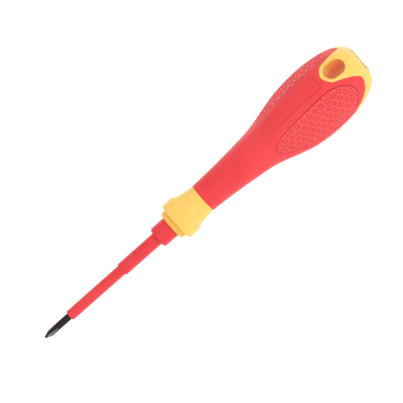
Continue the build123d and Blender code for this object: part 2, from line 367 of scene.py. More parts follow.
# ---------------------------------------------------------------- meshes
class Shell:
    """Points and faces of one piece"""

    def __init__(self):
        self.points = []
        # Painted shade of each point, 0 to 1, kept in the 'hollow' attribute
        self.hollow = []
        self.faces = []

    def add(self, points, hollow=0.0):
        start = len(self.points)
        self.points.extend(tuple(p) for p in points)
        self.hollow.extend(np.broadcast_to(hollow, len(points)))
        return list(range(start, start + len(points)))

    def bridge(self, first, second, closed=True):
        count = len(first)
        for i in range(count if closed else count - 1):
            j = (i + 1) % count
            self.faces.append((first[i], first[j], second[j], second[i]))

    def cap(self, loop):
        """Closes a loop with a fan about its middle"""
        middle = np.mean([self.points[i] for i in loop], axis=0)
        centre = self.add([middle])[0]
        for i in range(len(loop)):
            self.faces.append((loop[i], loop[(i + 1) % len(loop)], centre))

    def piece(self, name, body, slot, material, nodes=(), sharp=38):
        """Makes the object, gives it its material and says what it rides on and stands for"""
        mesh = bpy.data.meshes.new(name)
        mesh.from_pydata([(x * MM, y * MM, z * MM) for x, y, z in self.points], [], self.faces)
        # The 'hollow' attribute carries the painted shade of recesses to the material
        painted_shade_attribute = mesh.attributes.new("hollow", "FLOAT", "POINT")
        painted_shade_attribute.data.foreach_set("value", np.array(self.hollow, dtype=np.float32))
        work = bmesh.new()
        work.from_mesh(mesh)
        bmesh.ops.remove_doubles(work, verts=work.verts, dist=0.002 * MM)
        bmesh.ops.dissolve_degenerate(work, edges=work.edges, dist=0.0005 * MM)
        bmesh.ops.recalc_face_normals(work, faces=work.faces)
        work.to_mesh(mesh)
        work.free()
        mesh.shade_smooth()
        mesh.set_sharp_from_angle(angle=math.radians(sharp))
        piece = bpy.data.objects.new(name, mesh)
        bpy.context.scene.collection.objects.link(piece)
        mesh.materials.append(material)
        if body:
            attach(piece, body)
        if nodes:
            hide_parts(*nodes)
        return piece


def within(points, loop):
    """Which points lie inside a closed outline"""
    result = np.zeros(len(points), dtype=bool)
    start, end = loop, np.roll(loop, -1, axis=0)
    rise = end[:, 1] - start[:, 1]
    rise = np.where(rise == 0, 1e-12, rise)
    for first in range(0, len(points), 5000):
        part = points[first:first + 5000]
        x, y = part[:, 0, None], part[:, 1, None]
        crosses = (start[:, 1] > y) != (end[:, 1] > y)
        reach = start[:, 0] + (end[:, 0] - start[:, 0]) * (y - start[:, 1]) / rise
        result[first:first + 5000] = np.sum(crosses & (x < reach), axis=1) % 2 == 1
    return result


def nearest(points, targets):
    """Distance from each point to the closest of the targets"""
    tree = KDTree(len(targets))
    for i, p in enumerate(targets):
        tree.insert((p[0], p[1], 0), i)
    tree.balance()
    return np.array([tree.find((p[0], p[1], 0))[2] for p in points])


class Sheet:
    """One patch of the form: unrolled points, their places in space and the outlines between them"""

    def __init__(self):
        self.flat = np.zeros((0, 2))
        self.solid = np.zeros((0, 3))
        # Painted shade of each point, 0 to 1
        self.hollow = np.zeros(0)
        self.edges = []

    def put(self, flat, relief=0.0, push=outward, outline=None, hollow=0.0):
        """Adds points that stand off the form by a relief, and returns their numbers"""
        start = len(self.flat)
        way = push(flat) if callable(push) else np.array(push)
        relief = np.broadcast_to(relief, len(flat))[:, None]
        self.flat = np.vstack([self.flat, flat])
        self.solid = np.vstack([self.solid, on_form(flat) + way * relief])
        self.hollow = np.concatenate([self.hollow, np.broadcast_to(hollow, len(flat))])
        numbers = list(range(start, start + len(flat)))
        if outline:
            self.edges += list(zip(numbers, numbers[1:]))
        if outline == "closed":
            self.edges.append((numbers[-1], numbers[0]))
        return numbers

    def rounding(self, line, radius, side, closed=False, steps=4, hollow=0.0):
        """Rows of points beside an outline that make its rounded edge, with painted shade deepest at its foot
        """
        tangent = np.gradient(np.vstack([line[-1:], line, line[:1]]) if closed else line, axis=0)
        if closed:
            tangent = tangent[1:-1]
        tangent /= np.linalg.norm(tangent, axis=1)[:, None]
        normal = np.stack([tangent[:, 1], -tangent[:, 0]], axis=1) * side
        for step in range(1, steps + 1):
            distance = radius * (1 - math.cos(math.pi / 2 * step / steps))
            row = line + normal * distance
            clear = nearest(row, line) > 0.8 * distance
            self.put(row[clear], -quarter_round(distance, radius), hollow=hollow * (1 - step / steps) ** 0.5)

    def fill(self, spacing, outline, holes=(), relief=None, hollow=None, lattice=None, margin=0.6):
        """A grid of points between the outlines, clear of the points that are there"""
        low, high = outline.min(axis=0), outline.max(axis=0)
        origin = lattice if lattice is not None else low
        row_height = spacing * math.sqrt(3) / 2
        rows = np.arange(math.floor((low[1] - origin[1]) / row_height), (high[1] - origin[1]) / row_height)
        columns = np.arange(math.floor((low[0] - origin[0]) / spacing), (high[0] - origin[0]) / spacing)
        column, row = (grid.ravel() for grid in np.meshgrid(columns, rows))
        grid = np.stack([
            origin[0] + spacing * (column + 0.5 * (row % 2)),
            origin[1] + row_height * row,
        ], axis=1)
        keep = within(grid, outline)
        for hole in holes:
            keep &= ~within(grid, hole)
        grid = grid[keep]
        grid = grid[nearest(grid, self.flat) > margin * spacing]
        self.put(
            grid,
            relief(grid) if relief else 0.0,
            hollow=hollow(grid) if hollow else 0.0,
        )

    def into(self, shell, outline, holes=()):
        """Joins the points with triangles and adds them to a shell. Returns the shell's numbers."""
        corners = [Vector(p) for p in self.flat]
        spots, _, faces, origins, _, _ = delaunay_2d_cdt(corners, self.edges, [], 0, 1e-7)
        if any(not origin for origin in origins):
            raise ValueError("outlines cross")
        middles = np.array([
            [sum(spots[i].x for i in face) / 3, sum(spots[i].y for i in face) / 3] for face in faces
        ])
        keep = within(middles, outline)
        for hole in holes:
            keep &= ~within(middles, hole)
        numbers = shell.add(self.solid, self.hollow)
        for face, kept in zip(faces, keep):
            if kept:
                shell.faces.append(tuple(numbers[origins[i][0]] for i in face))
        return numbers


def seam_points(low, high, spacing):
    """Points between two arc lengths, on both sides of the seam"""
    count = max(2, round((high - low) / spacing))
    arcs = np.linspace(low, high, count + 1)[1:-1]
    start = math.radians(SEAM_TURN) * UNROLL_RADIUS
    right = np.stack([arcs, np.full(len(arcs), start + math.tau * UNROLL_RADIUS)], axis=1)
    left = np.stack([arcs, np.full(len(arcs), start)], axis=1)
    return left, right


def round_line(arc, count):
    """Points once round the form at one arc length"""
    start = math.radians(SEAM_TURN) * UNROLL_RADIUS
    around = start + np.linspace(0, math.tau * UNROLL_RADIUS, count + 1)
    return np.stack([np.full(count + 1, arc), around], axis=1)


EDGE = rear_edge()
NECK_ARC = arc_at(neck_end)
NECK_COUNT = 180


def put_frame(sheet, first, last, seams, reliefs=(0.0, 0.0), push=outward):
    """The four sides of an unrolled patch that goes once round: two round lines and the seams"""
    left, right = seams
    a = sheet.put(first, reliefs[0], push)
    b = sheet.put(last, reliefs[1], push)
    c = sheet.put(left, 0.0 if push is outward else -skin_at(x_at(left[:, 0])), push)
    d = sheet.put(right, 0.0 if push is outward else -skin_at(x_at(right[:, 0])), push)
    for numbers in (a, b, [a[0], *c, b[0]], [a[-1], *d, b[-1]]):
        sheet.edges += list(zip(numbers, numbers[1:]))
    return a, b


def frame_outline(first, last, seams):
    """The outline of such a patch"""
    left, right = seams
    return np.vstack([first, right, last[::-1], left[::-1]])


# ---------------------------------------------------------------- relief of the soft grip
def label_distance(x, side):
    """Signed distance from the outline of the name field"""
    dx = np.abs(x - LABEL_X) - (LABEL_HALF_LENGTH - LABEL_CORNER)
    dy = np.abs(side) - (LABEL_HALF_WIDTH - LABEL_CORNER)
    outside = np.hypot(np.maximum(dx, 0), np.maximum(dy, 0))
    return outside + np.minimum(np.maximum(dx, dy), 0) - LABEL_CORNER


def label_height(distance):
    """Relief of the name field: a bead round it and a shallow scoop inside"""
    bead = LABEL_BEAD * np.exp(-((distance / LABEL_BEAD_WIDTH) ** 2))
    return bead - LABEL_SCOOP * soft_step(-distance / 1.2)


def grip_relief(flat):
    """Relief of the grip, which only the name field raises or sinks"""
    x, side, facing = sideways(360, flat)
    return np.where(facing, label_height(label_distance(x, side)), 0.0)


def label_bead_shade(distance):
    """How much painted shade darkens the colour beside the bead of the name field, from 0 to 1"""
    return 0.5 * np.exp(-(((distance + 0.32) / 0.16) ** 2))


def grip_painted_shade(flat):
    """How much painted shade darkens the grip's colour, from 0 to 1"""
    x, side, facing = sideways(360, flat)
    return np.where(facing, label_bead_shade(label_distance(x, side)), 0.0)


def cell_offsets(flat, origin):
    """Offset of each point from the middle of its honeycomb cell"""
    best = None
    size = np.array([CELL_PITCH, CELL_PITCH * math.sqrt(3)])
    for shift in (0.0, 0.5):
        offset = (flat - origin) / size - shift
        offset = (offset - np.round(offset)) * size
        if best is None:
            best = offset
        else:
            closer = np.linalg.norm(offset, axis=1) < np.linalg.norm(best, axis=1)
            best = np.where(closer[:, None], offset, best)
    return best


def honeycomb(flat, origin, border):
    """How deep the honeycomb lies under the pad's top, from 0 to 1, which also sets its painted shade, and
    its relief
    """
    offset = np.abs(cell_offsets(flat, origin))
    across = np.maximum(offset[:, 0], offset[:, 0] / 2 + offset[:, 1] * math.sqrt(3) / 2)
    from_middle = np.linalg.norm(offset, axis=1)
    net = 1 - soft_step((CELL_PITCH / 2 - across - NET_HALF_WIDTH) / NET_SLOPE)
    dot = 1 - soft_step((from_middle - DOT_RADIUS) / DOT_SLOPE)
    mask = soft_step((border - PAD_BORDER) / 0.4)
    sunk = (1 - np.maximum(net, dot)) * mask
    return sunk, -CELL_DEPTH * sunk


# ---------------------------------------------------------------- materials
def node(tree, kind, **settings):
    made = tree.nodes.new(kind)
    for name, value in settings.items():
        if name in made.inputs:
            made.inputs[name].default_value = value
        else:
            setattr(made, name, value)
    return made


def plastic(name, light, deep, hollow, roughness, grain, bump, mottle=60.0, painted_glow=0.0, **shader_values):
    """Moulded plastic or rubber: mottled colour with painted shade that deepens it in its hollows, a fine
    grain and uneven gloss.
    The painted_glow setting is emission in the hollows that stands in for light bounced into them."""
    material = bpy.data.materials.new(name)
    material.use_nodes = True
    tree = material.node_tree
    shader = tree.nodes["Principled BSDF"]
    for socket, value in shader_values.items():
        shader.inputs[socket.replace("_", " ")].default_value = value
    place = node(tree, "ShaderNodeTexCoord").outputs["Object"]

    clouds = node(tree, "ShaderNodeTexNoise", Scale=mottle, Detail=3.0, Roughness=0.55)
    tree.links.new(place, clouds.inputs["Vector"])
    shades = node(tree, "ShaderNodeValToRGB")
    shades.color_ramp.elements[0].position = 0.3
    shades.color_ramp.elements[0].color = (*deep, 1)
    shades.color_ramp.elements[1].position = 0.72
    shades.color_ramp.elements[1].color = (*light, 1)
    tree.links.new(clouds.outputs["Fac"], shades.inputs["Fac"])

    # Painted shade: the 'hollow' attribute mixes the hollow colour into recesses
    recess_shade = node(tree, "ShaderNodeAttribute", attribute_name="hollow")
    sunk = node(tree, "ShaderNodeMix", data_type="RGBA")
    tree.links.new(recess_shade.outputs["Fac"], sunk.inputs["Factor"])
    tree.links.new(shades.outputs["Color"], sunk.inputs[6])
    sunk.inputs[7].default_value = (*hollow, 1)
    tree.links.new(sunk.outputs[2], shader.inputs["Base Color"])
    # Emission of the hollow colour, strongest where the painted shade is deepest: painted light standing in
    # for light bounced into the hollows
    if painted_glow:
        through = node(tree, "ShaderNodeMath", operation="MULTIPLY")
        tree.links.new(recess_shade.outputs["Fac"], through.inputs[0])
        through.inputs[1].default_value = painted_glow
        tree.links.new(through.outputs[0], shader.inputs["Emission Strength"])
        shader.inputs["Emission Color"].default_value = (*hollow, 1)

    specks = node(tree, "ShaderNodeTexNoise", Scale=grain, Detail=4.0, Roughness=0.6)
    tree.links.new(place, specks.inputs["Vector"])
    gloss = node(tree, "ShaderNodeMapRange")
    gloss.inputs["To Min"].default_value = roughness - 0.06
    gloss.inputs["To Max"].default_value = roughness + 0.08
    tree.links.new(clouds.outputs["Fac"], gloss.inputs["Value"])
    tree.links.new(gloss.outputs["Result"], shader.inputs["Roughness"])
    raised = node(tree, "ShaderNodeBump", Strength=bump, Distance=0.00004)
    tree.links.new(specks.outputs["Fac"], raised.inputs["Height"])
    tree.links.new(raised.outputs["Normal"], shader.inputs["Normal"])
    return material


def ground_faces(tree, place):
    """1 on the ground faces of the cross point's flutes, and 0 at its very end and on the rest"""
    slope = (shank_radius / math.sqrt(2) - WING_THICKNESS / 2) / FLUTE_LENGTH
    limit = (WING_THICKNESS / 2 + slope * tip - 0.05) * MM
    parts = node(tree, "ShaderNodeSeparateXYZ")
    tree.links.new(place, parts.inputs["Vector"])
    sides = []
    for axis in ("Y", "Z"):
        sides.append(node(tree, "ShaderNodeMath", operation="ABSOLUTE"))
        tree.links.new(parts.outputs[axis], sides[-1].inputs[0])
    nearer = node(tree, "ShaderNodeMath", operation="MINIMUM")
    tree.links.new(sides[0].outputs[0], nearer.inputs[0])
    tree.links.new(sides[1].outputs[0], nearer.inputs[1])
    height = node(tree, "ShaderNodeMath", operation="MULTIPLY_ADD")
    tree.links.new(parts.outputs["X"], height.inputs[0])
    height.inputs[1].default_value = -slope
    height.inputs[2].default_value = limit
    mask = node(tree, "ShaderNodeMath", operation="GREATER_THAN")
    tree.links.new(nearer.outputs[0], mask.inputs[0])
    tree.links.new(height.outputs[0], mask.inputs[1])
    behind = node(tree, "ShaderNodeMapRange", interpolation_type="SMOOTHSTEP")
    behind.inputs["From Min"].default_value = (tip - 0.7) * MM
    behind.inputs["From Max"].default_value = (tip - 1.3) * MM
    tree.links.new(parts.outputs["X"], behind.inputs["Value"])
    both = node(tree, "ShaderNodeMath", operation="MULTIPLY")
    tree.links.new(mask.outputs[0], both.inputs[0])
    tree.links.new(behind.outputs["Result"], both.inputs[1])
    return both.outputs[0]


def steel(name, light, deep, roughness, stretch=(1.0, 14.0, 14.0), scale=900.0, ground=None):
    """Metal with fine marks along the tool from turning or drawing"""
    material = bpy.data.materials.new(name)
    material.use_nodes = True
    tree = material.node_tree
    shader = tree.nodes["Principled BSDF"]
    shader.inputs["Metallic"].default_value = 1.0
    place = node(tree, "ShaderNodeTexCoord").outputs["Object"]
    drawn = node(tree, "ShaderNodeMapping", Scale=stretch)
    tree.links.new(place, drawn.inputs["Vector"])
    marks = node(tree, "ShaderNodeTexNoise", Scale=scale / 10, Detail=5.0, Roughness=0.65)
    tree.links.new(drawn.outputs["Vector"], marks.inputs["Vector"])
    shades = node(tree, "ShaderNodeValToRGB")
    shades.color_ramp.elements[0].position = 0.3
    shades.color_ramp.elements[0].color = (*deep, 1)
    shades.color_ramp.elements[1].position = 0.75
    shades.color_ramp.elements[1].color = (*light, 1)
    tree.links.new(marks.outputs["Fac"], shades.inputs["Fac"])
    colour = shades.outputs["Color"]
    if ground:
        bright = node(tree, "ShaderNodeMix", data_type="RGBA")
        tree.links.new(ground_faces(tree, place), bright.inputs["Factor"])
        tree.links.new(colour, bright.inputs[6])
        bright.inputs[7].default_value = (*ground, 1)
        colour = bright.outputs[2]
    tree.links.new(colour, shader.inputs["Base Color"])
    gloss = node(tree, "ShaderNodeMapRange")
    gloss.inputs["To Min"].default_value = roughness - 0.08
    gloss.inputs["To Max"].default_value = roughness + 0.12
    tree.links.new(marks.outputs["Fac"], gloss.inputs["Value"])
    tree.links.new(gloss.outputs["Result"], shader.inputs["Roughness"])
    raised = node(tree, "ShaderNodeBump", Strength=0.3, Distance=0.00002)
    tree.links.new(marks.outputs["Fac"], raised.inputs["Height"])
    tree.links.new(raised.outputs["Normal"], shader.inputs["Normal"])
    return material


# The third colour of each plastic is painted shade for its recesses; on the grip, the pocket walls and the
# groove beside the name field
soft_red = plastic("soft_red", (0.82, 0.060, 0.068), (0.78, 0.044, 0.052), (0.55, 0.015, 0.02),
                   0.50, 5200.0, 0.35, Specular_IOR_Level=0.22, Sheen_Weight=0.03)
# Painted shade colour for the honeycomb's sunk parts and the pad's edge
pad_red = plastic("pad_red", (0.86, 0.095, 0.103), (0.83, 0.080, 0.088), (0.76, 0.040, 0.046),
                  0.33, 5200.0, 0.25, Specular_IOR_Level=0.35, Sheen_Weight=0.03)
insulation_red = plastic("insulation_red", (0.80, 0.062, 0.072), (0.76, 0.046, 0.056), (0.6, 0.02, 0.025),
                         0.34, 4200.0, 0.3, Specular_IOR_Level=0.2)
# Deep orange painted shade for the hanging hole's walls, also given off there as emission standing in for
# bounced light
hard_yellow = plastic("hard_yellow", (0.95, 0.61, 0.135), (0.93, 0.565, 0.12), (0.92, 0.21, 0.028),
                      0.36, 3600.0, 0.18, painted_glow=0.13, Specular_IOR_Level=0.3)
# A darker, more orange copy of the handle's yellow: painted shade for the collar's side, which sits in the
# guard's shadow
collar_yellow = plastic("collar_yellow", (0.95, 0.52, 0.09), (0.93, 0.47, 0.08), (0.85, 0.4, 0.05),
                        0.38, 3600.0, 0.2, Specular_IOR_Level=0.3)
print_ink = plastic("print_ink", (0.07, 0.05, 0.05), (0.04, 0.03, 0.03), (0.02, 0.02, 0.02),
                    0.6, 6000.0, 0.2)
blade_steel = steel("blade_steel", (0.060, 0.045, 0.048), (0.022, 0.015, 0.018), 0.36,
                    ground=(0.36, 0.35, 0.36))
inner_steel = steel("inner_steel", (0.62, 0.63, 0.65), (0.45, 0.46, 0.48), 0.30)
spring_steel = steel("spring_steel", (0.5, 0.5, 0.52), (0.32, 0.32, 0.34), 0.34)


# ---------------------------------------------------------------- handle
def make_grip():
    """The soft grip: lobed skin with three pockets for the pads and a raised name field"""
    shell = Shell()
    neck = round_line(NECK_ARC, NECK_COUNT)
    seams = seam_points(EDGE[0, 0], NECK_ARC, 0.5)
    outline = frame_outline(EDGE, neck, seams)
    pockets = [seen_along(turn if turn > SEAM_TURN else turn + 360, egg(ends, PAD_GAP))
               for turn, ends in PADS.values()]

    outer = Sheet()
    edge, rim = put_frame(outer, EDGE, neck, seams, (-SEAM_ROUNDING, -SEAM_ROUNDING))
    outer.rounding(EDGE, SEAM_ROUNDING, 1)
    outer.rounding(neck, SEAM_ROUNDING, -1)
    walls = []
    # Painted shade on the walls and rounded edges of the pockets, the gaps round the pads
    for pocket in pockets:
        walls.append(outer.put(pocket, -POCKET_ROUNDING, outline="closed", hollow=1.0))
        outer.rounding(pocket, POCKET_ROUNDING, 1, closed=True, hollow=1.0)
    # Contours of the name field's bead, with painted shade in the groove beside it
    for step in range(-5, 6):
        grow = 0.12 * step
        contour = rounded_box(LABEL_X, LABEL_HALF_LENGTH, LABEL_HALF_WIDTH, LABEL_CORNER, grow)
        outer.put(seen_along(360, contour), label_height(grow), hollow=label_bead_shade(grow))
    outer.fill(0.5, outline, pockets, grip_relief, grip_painted_shade)
    numbers = outer.into(shell, outline, pockets)
    edge, rim = [numbers[i] for i in edge], [numbers[i] for i in rim]

    for wall, pocket in zip(walls, pockets):
        floor = Sheet()
        loop = floor.put(pocket, -PAD_DEPTH, radial, outline="closed")
        floor.fill(1.5, pocket)
        floor.solid = on_form(floor.flat) - PAD_DEPTH * radial(floor.flat)
        below = floor.into(shell, pocket)
        shell.bridge([numbers[i] for i in wall], [below[i] for i in loop])

    inner = Sheet()
    inner_edge, inner_rim = put_frame(inner, EDGE, neck, seams, push=radial)
    inner.fill(1.6, outline)
    inner.solid = on_form(inner.flat) - skin_at(x_at(inner.flat[:, 0]))[:, None] * radial(inner.flat)
    below = inner.into(shell, outline)
    shell.bridge(edge, [below[i] for i in inner_edge], closed=False)
    shell.bridge(rim, [below[i] for i in inner_rim], closed=False)
    return shell.piece("grip_cover", "handle", "soft_red", soft_red, ["soft_grip"])


def make_pad(name, turn, ends):
    """One pad: a raised honeycomb net with a dot in each cell, inside a plain border"""
    shell = Shell()
    loop = seen_along(turn, egg(ends, PAD_GAP - PAD_CLEARANCE))
    origin = np.array([arc_at(ends[1]), math.radians(turn) * UNROLL_RADIUS])
    top = Sheet()
    # Painted shade on the pad's wall and rounded edge, deepest at its foot
    wall = top.put(loop, -PAD_ROUNDING, outline="closed", hollow=1.0)
    top.rounding(loop, PAD_ROUNDING, -1, closed=True, hollow=1.0)

    def cells(flat):
        return honeycomb(flat, origin, nearest(flat, loop))

    # The honeycomb's sunk parts get painted shade as well as their relief
    top.fill(CELL_PITCH / CELL_STEPS, loop, relief=lambda flat: cells(flat)[1],
             hollow=lambda flat: cells(flat)[0], lattice=origin, margin=0.45)
    numbers = top.into(shell, loop)
    under = Sheet()
    base = under.put(loop, 0.0, outline="closed")
    under.fill(1.5, loop)
    under.solid = on_form(under.flat) - (PAD_DEPTH - 0.02) * radial(under.flat)
    below = under.into(shell, loop)
    shell.bridge([numbers[i] for i in wall], [below[i] for i in base])
    return shell.piece(name.replace("grip_pad", "honeycomb"), "handle", "pad_red", pad_red, [name])


def make_core():
    """The hard core: rounded butt, three lobes, the hanging hole, and the body inside the grip"""
    shell = Shell()
    count = 260
    butt = round_line(0.0, count)
    seams = seam_points(0.0, EDGE[0, 0], 0.4)
    outline = frame_outline(butt, EDGE, seams)
    mouths = {
        turn: rounded_box(HOLE_X, HOLE_HALF_LENGTH, HOLE_HALF_WIDTH, HOLE_HALF_WIDTH) * (1, side)
        for turn, side in ((360, 1), (180, -1))
    }
    holes = [seen_along(turn, mouth) for turn, mouth in mouths.items()]
    outer = Sheet()
    rim, edge = put_frame(outer, butt, EDGE, seams, (0.0, -SEAM_ROUNDING))
    outer.rounding(EDGE, SEAM_ROUNDING, -1)
    loops = []
    for turn, side in ((360, 1), (180, -1)):
        away = (0.0, math.sin(math.radians(turn)), math.cos(math.radians(turn)))
        for step in range(7):
            distance = HOLE_ROUNDING * (1 - math.cos(math.pi / 2 * step / 6))
            contour = rounded_box(HOLE_X, HOLE_HALF_LENGTH, HOLE_HALF_WIDTH, HOLE_HALF_WIDTH, distance)
            drop = -quarter_round(distance, HOLE_ROUNDING)
            flat = seen_along(turn, contour * (1, side))
            numbers = outer.put(flat, drop, np.broadcast_to(away, (len(flat), 3)),
                                outline=None if step else "closed")
            if step == 0:
                loops.append(numbers)
    outer.fill(0.5, outline, holes)
    numbers = outer.into(shell, outline, holes)

    # Walls of the hanging hole, with painted shade deepest midway through it, where the core's material also
    # adds emission as painted bounce light
    upper, lower = ([numbers[i] for i in loop] for loop in loops)
    rows = 10
    above = upper
    for row in range(1, rows):
        share = row / rows
        points = [
            np.array(shell.points[a]) * (1 - share) + np.array(shell.points[b]) * share
            for a, b in zip(upper, lower)
        ]
        here = shell.add(points, min(1.0, 1.6 * min(share, 1 - share)))
        shell.bridge(above, here)
        above = here
    shell.bridge(above, lower)

    # Butt face
    ring = [numbers[i] for i in rim]
    for share in (0.8, 0.55, 0.3):
        outer_ring = [shell.points[numbers[k]] for k in rim]
        points = [(0.0, y * share, z * share) for _, y, z in outer_ring]
        here = shell.add(points)
        shell.bridge(ring, here, closed=False)
        ring = here
    shell.cap(ring[:-1])

    # Body inside the grip, spigot and socket bore
    neck = round_line(NECK_ARC, NECK_COUNT)
    inner_seams = seam_points(EDGE[0, 0], NECK_ARC, 1.5)
    inner_outline = frame_outline(EDGE, neck, inner_seams)
    inner = Sheet()
    inner_edge, inner_rim = put_frame(inner, EDGE, neck, inner_seams, push=radial)
    inner.fill(1.6, inner_outline)
    inner.solid = on_form(inner.flat) - skin_at(x_at(inner.flat[:, 0]))[:, None] * radial(inner.flat)
    below = inner.into(shell, inner_outline)
    shell.bridge([numbers[i] for i in edge], [below[i] for i in inner_edge], closed=False)
    ring = [below[i] for i in inner_rim]
    turns = neck[:, 1] / UNROLL_RADIUS
    for x, radius in ((neck_end, SPIGOT_RADIUS), (spigot_front, SPIGOT_RADIUS), (spigot_front, socket_radius),
                      (socket_back, socket_radius)):
        here = shell.add(ring_at(x, radius, turns))
        shell.bridge(ring, here, closed=False)
        ring = here
    shell.cap(ring[:-1])
    return shell.piece("core_body", "handle", "hard_yellow", hard_yellow, ["handle_core"])


def x_radii(turn):
    """Radius of the form at one turn, for each distance in x_table, kept from falling again"""
    return np.maximum.accumulate(radius_at(x_table, turn))


def make_butt_marks():
    """Plain printed ticks round the butt, with their tops just proud of it"""
    shell = Shell()
    for number in range(BUTT_MARKS):
        turn = math.tau * number / BUTT_MARKS
        across = np.array([0, math.cos(turn), -math.sin(turn)])
        out = np.array([0, math.sin(turn), math.cos(turn)])
        length = 0.7 if number % 2 else 1.0
        layers = []
        for height, shrink in ((0.12, 0.0), (-0.02, 0.0), (-0.04, 0.04)):
            corners = []
            for side, reach in ((-1, -1), (1, -1), (1, 1), (-1, 1)):
                radius = BUTT_MARK_RADIUS + reach * (length - shrink)
                dome = np.interp(radius, x_radii(turn), x_table)
                corners.append(
                    np.array([height + dome, 0, 0])
                    + across * side * (BUTT_MARK_HALF_WIDTH - shrink)
                    + out * radius
                )
            layers.append(shell.add(corners))
        for first, second in zip(layers, layers[1:]):
            shell.bridge(first, second)
        shell.faces.append(tuple(layers[0]))
        shell.faces.append(tuple(layers[-1]))
    return shell.piece("butt_marks", "handle", "hard_yellow", print_ink)


# ---------------------------------------------------------------- turned pieces
def rounded_profile(corners, steps=6):
    """Closed outline (x, radius) through corners (x, radius, rounding)"""
    line = []
    count = len(corners)
    for i, (x, r, rounding) in enumerate(corners):
        here = Vector((x, r))
        if rounding == 0:
            line.append(here)
            continue
        before = (Vector(corners[i - 1][:2]) - here).normalized()
        after = (Vector(corners[(i + 1) % count][:2]) - here).normalized()
        half = before.angle(after) / 2
        start = here + before * (rounding / math.tan(half))
        end = here + after * (rounding / math.tan(half))
        centre = here + (before + after).normalized() * (rounding / math.sin(half))
        sweep = math.pi - 2 * half
        for step in range(steps + 1):
            share = step / steps
            line.append(centre + (
                (start - centre) * math.sin((1 - share) * sweep) + (end - centre) * math.sin(share * sweep)
            ) / math.sin(sweep))
    return line


def turned(profile, segments=160, relief=None):
    """A closed outline turned about the tool's axis"""
    shell = Shell()
    turns = np.linspace(0, math.tau, segments, endpoint=False)
    rings = []
    for x, r in profile:
        lift = relief(x, r, turns) if relief else 0.0
        rings.append(shell.add(ring_at(x, r + lift, turns)))
    for first, second in zip(rings, rings[1:] + rings[:1]):
        shell.bridge(first, second)
    return shell


def make_guard():
    """Flared guard: long hollow cone, straight rim with a soft shoulder, bore for the collar"""
    rim_back = guard_front - GUARD_STRAIGHT
    flare = smooth_through([
        (neck_end + 0.2, NECK_RADIUS), (87.0, 6.58), (89.2, 6.85), (91.2, 7.35), (92.6, 8.0),
        (rim_back, 8.42),
    ], 8)
    cone = [(x, r, 0) for x, r in flare[1:-1]]
    profile = rounded_profile([
        (neck_end, SPIGOT_RADIUS, 0), (neck_end, NECK_RADIUS, SEAM_ROUNDING), *cone,
        (rim_back + 0.35, guard_radius, 0.9), (guard_front, guard_radius, 1.1),
        (guard_front, GUARD_BORE, 0.25),
        (GUARD_BORE_END, GUARD_BORE, 0), (GUARD_BORE_END, SPRING_CHAMBER_RADIUS, 0),
        (spigot_front, SPRING_CHAMBER_RADIUS, 0), (spigot_front, SPIGOT_RADIUS, 0),
    ])
    return turned(profile).piece("guard_shell", "handle", "hard_yellow", hard_yellow, ["nose_guard"])


def make_collar():
    """Release collar: disc with a rounded rim, a groove for its ring, and the sleeve in the spring"""
    bore = plug_radius + PLUG_CLEARANCE
    groove_back, groove_front = COLLAR_GROOVE
    profile = rounded_profile([
        (collar_front, bore, 0.2), (collar_front, collar_radius, 1.0), (groove_front, collar_radius, 0),
        (groove_front, COLLAR_GROOVE_RADIUS, 0), (groove_back, COLLAR_GROOVE_RADIUS, 0),
        (groove_back, collar_radius, 0), (COLLAR_DISC_BACK, collar_radius, 0.2),
        (COLLAR_DISC_BACK, COLLAR_SLEEVE_RADIUS, 0), (collar_back, COLLAR_SLEEVE_RADIUS, 0.15),
        (collar_back, COLLAR_SLEEVE_BORE, 0), (COLLAR_FLOOR, COLLAR_SLEEVE_BORE, 0), (COLLAR_FLOOR, bore, 0),
    ])
    # Its material is the shaded copy of the yellow, painted shade beside the guard
    return turned(profile).piece("collar_disc", "collar", "collar_yellow", collar_yellow, ["release_collar"])


def make_plug():
    """Blade plug: smooth drum with a full front rounding and a narrower tail"""
    profile = rounded_profile([
        (plug_back, shank_radius, 0), (plug_back, PLUG_TAIL_RADIUS, 0.3), (PLUG_STEP, PLUG_TAIL_RADIUS, 0.2),
        (PLUG_STEP, plug_radius, 0.3),
        (plug_front, plug_radius, 1.25), (plug_front, sleeve_radius, 0.1), (sleeve_back, sleeve_radius, 0),
        (sleeve_back, SLEEVE_BORE, 0), (insulation_back, SLEEVE_BORE, 0), (insulation_back, shank_radius, 0),
    ])
    return turned(profile).piece("plug_drum", "blade", "insulation_red", insulation_red, ["blade_plug"])


SLEEVE_MARK_TURN = math.radians(-20)
SLEEVE_MARK_PITCH = 1.55
SLEEVE_MARKS = 10


def sleeve_marks(x, radius, turns):
    """Raised plain strokes along one side of the sleeve"""
    if radius < sleeve_radius - 0.01:
        return np.zeros(len(turns))
    off = (turns - SLEEVE_MARK_TURN + math.pi) % math.tau - math.pi
    across = off * sleeve_radius
    height = np.zeros(len(turns))
    for number in range(SLEEVE_MARKS):
        centre = plug_front + 2.2 + SLEEVE_MARK_PITCH * number
        lean = (0.0, 0.35, -0.35)[number % 3]
        reach = (1.15, 1.0, 1.0, 0.6)[number % 4]
        beside = np.abs(x - centre - lean * across)
        inside = soft_step((0.34 - beside) / 0.12) * soft_step((reach - np.abs(across)) / 0.12)
        height = np.maximum(height, inside)
    return 0.2 * height


def make_sleeve():
    """Rear sleeve with a rounded front edge and raised strokes"""
    corners = [
        (sleeve_back, SLEEVE_BORE, 0), (sleeve_back, sleeve_radius, 0),
        *[(x, sleeve_radius, 0) for x in np.arange(plug_front + 0.4, sleeve_front - 0.6, 0.13)],
        (sleeve_front, sleeve_radius, 0.5), (sleeve_front, SLEEVE_BORE, 0),
    ]
    shell = turned(rounded_profile(corners), 220, sleeve_marks)
    return shell.piece("sleeve_body", "blade", "insulation_red", insulation_red, ["rear_sleeve"], sharp=60)


